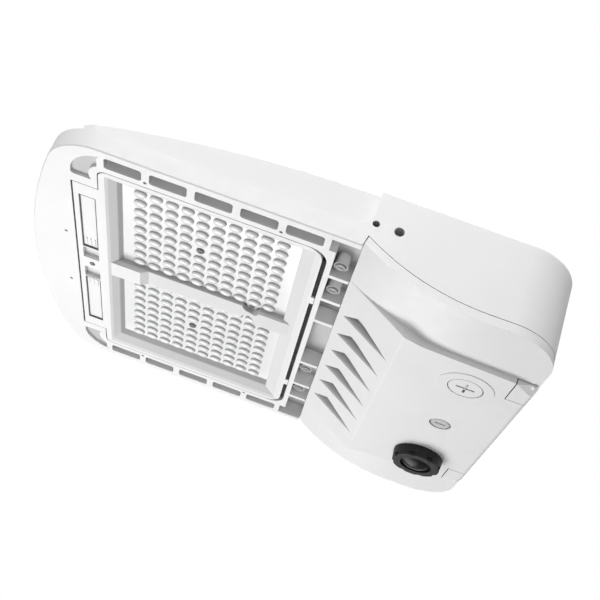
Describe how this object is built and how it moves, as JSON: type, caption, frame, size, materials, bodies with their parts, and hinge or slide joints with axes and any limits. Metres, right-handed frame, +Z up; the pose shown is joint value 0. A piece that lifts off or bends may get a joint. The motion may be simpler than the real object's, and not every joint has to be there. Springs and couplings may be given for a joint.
{
  "type": "led area light",
  "caption": "Pole-mounted area light with a flat lens engine, a vented frame, a finned top and a rear driver box with a hinged service door and a light sensor.",
  "frame": {"origin": "centre between the two pole bolts, on the flat rear face that meets the pole or arm", "axes": "+X from the pole out to the nose, +Z up as it hangs in use with the lenses facing down, +Y to the left when looking out along +X"},
  "size_m": [0.42, 0.34, 0.0943],
  "materials": {
    "white_casting": "matt white powder coat",
    "white_door": "matt white powder coat",
    "white_bezel": "matt white powder coat",
    "clear_lens": "clear moulded acrylic",
    "white_plastic": "fine matt white",
    "black_plastic": "fine matt black",
    "smoke_lens": "smoked translucent",
    "black_rubber": "matt black",
    "grey_pad": "soft grey sheet",
    "steel": "bright zinc",
    "nut_metal": "plain machined",
    "board_white": "white solder mask",
    "chip_yellow": "pale phosphor",
    "driver_can": "plain drawn can",
    "surge_black": "potted case",
    "terminal_white": "plain moulding"
  },
  "bodies": {
    "housing": {"main_housing": "white_casting", "door_gasket": "black_rubber", "hinge_tabs": "white_casting", "hinge_pins": "steel", "optic_bezel": "white_bezel", "bezel_gasket": "black_rubber", "lens_plate_left": "clear_lens", "lens_plate_right": "clear_lens", "led_board_left": "board_white", "led_board_right": "board_white", "led_chips_left": "chip_yellow", "led_chips_right": "chip_yellow", "thermal_pads": "grey_pad", "lens_screws": "steel", "bezel_screws": "steel", "boss_screws": "steel", "led_driver": "driver_can", "driver_screws": "steel", "surge_protector": "surge_black", "terminal_block": "terminal_white", "wire_grommet": "black_rubber", "board_grommet": "black_rubber", "ground_screw": "steel"},
    "door": {"driver_door": "white_door", "door_screw": "steel", "blanking_plug": "white_plastic", "plug_seal": "black_rubber", "plug_locknut": "nut_metal", "sensor_body": "black_plastic", "sensor_lens": "smoke_lens", "sensor_seal": "black_rubber", "sensor_locknut": "nut_metal"}
  },
  "joints": [
    {"name": "door_hinge", "type": "hinge", "parent": "housing", "child": "door", "pos_m": [0.0042, 0, -0.042], "axis": [0, 1, 0], "range_deg": [0, 70]}
  ]
}
